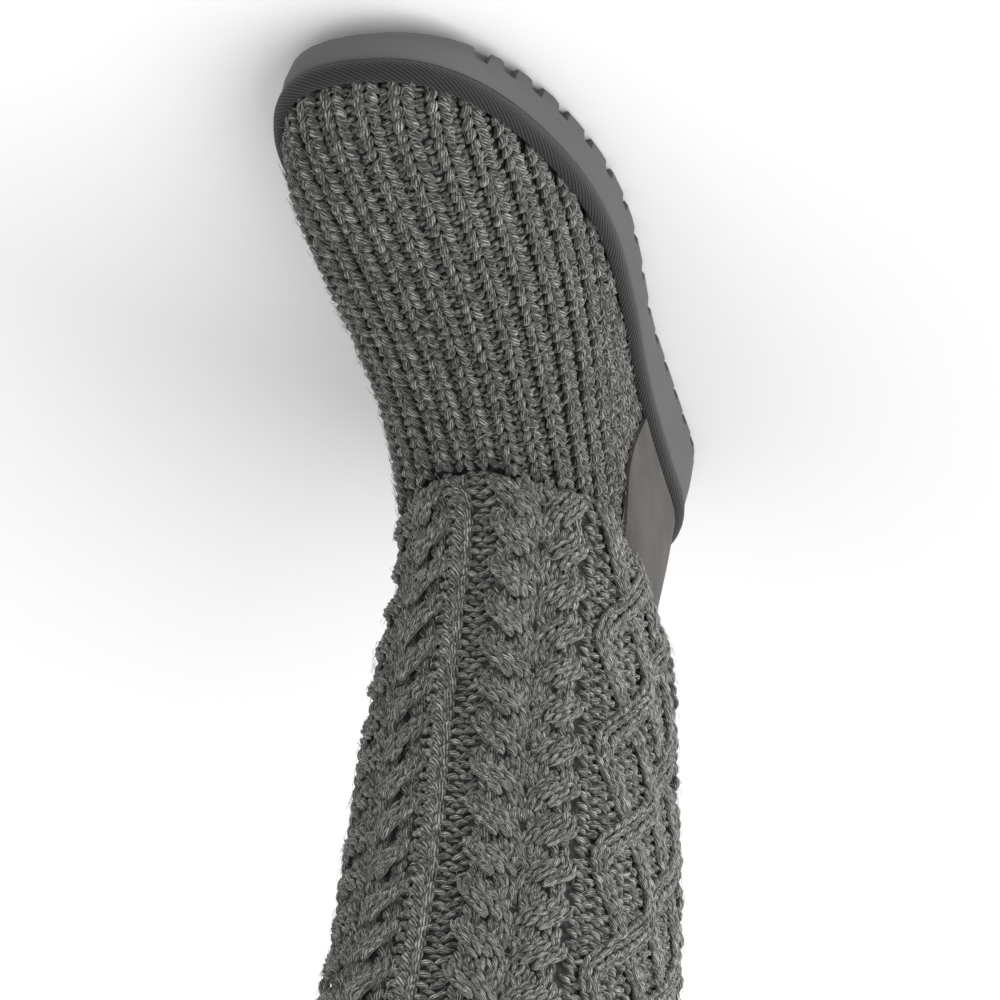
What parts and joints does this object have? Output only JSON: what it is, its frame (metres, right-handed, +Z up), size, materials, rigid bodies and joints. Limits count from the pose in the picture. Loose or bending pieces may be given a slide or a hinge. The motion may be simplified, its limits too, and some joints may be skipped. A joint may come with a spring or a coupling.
{
  "type": "knit boot",
  "caption": "Tall knit boot: ribbed knit foot, cable-knit shaft, suede heel counter, bound edge and thick lugged foam sole, in grey marl.",
  "frame": {"origin": "bottom centre of the bounding box: on the floor under the middle of the boot", "axes": "+Z up out of the collar, -Y towards the toe, -X towards the little-toe side"},
  "size_m": [0.1388, 0.2766, 0.335],
  "materials": {
    "sole_foam": "matte moulded foam",
    "footbed_fleece": "brushed fleece",
    "foot_knit": "ribbed plied yarn",
    "tape_twill": "fine slanted rib",
    "counter_suede": "napped suede",
    "shaft_knit": "cabled plied yarn"
  },
  "bodies": {
    "root": {"outsole": "sole_foam", "insole": "footbed_fleece", "foot_upper": "foot_knit", "binding_tape": "tape_twill", "heel_counter": "counter_suede", "shaft": "shaft_knit"}
  },
  "joints": []
}
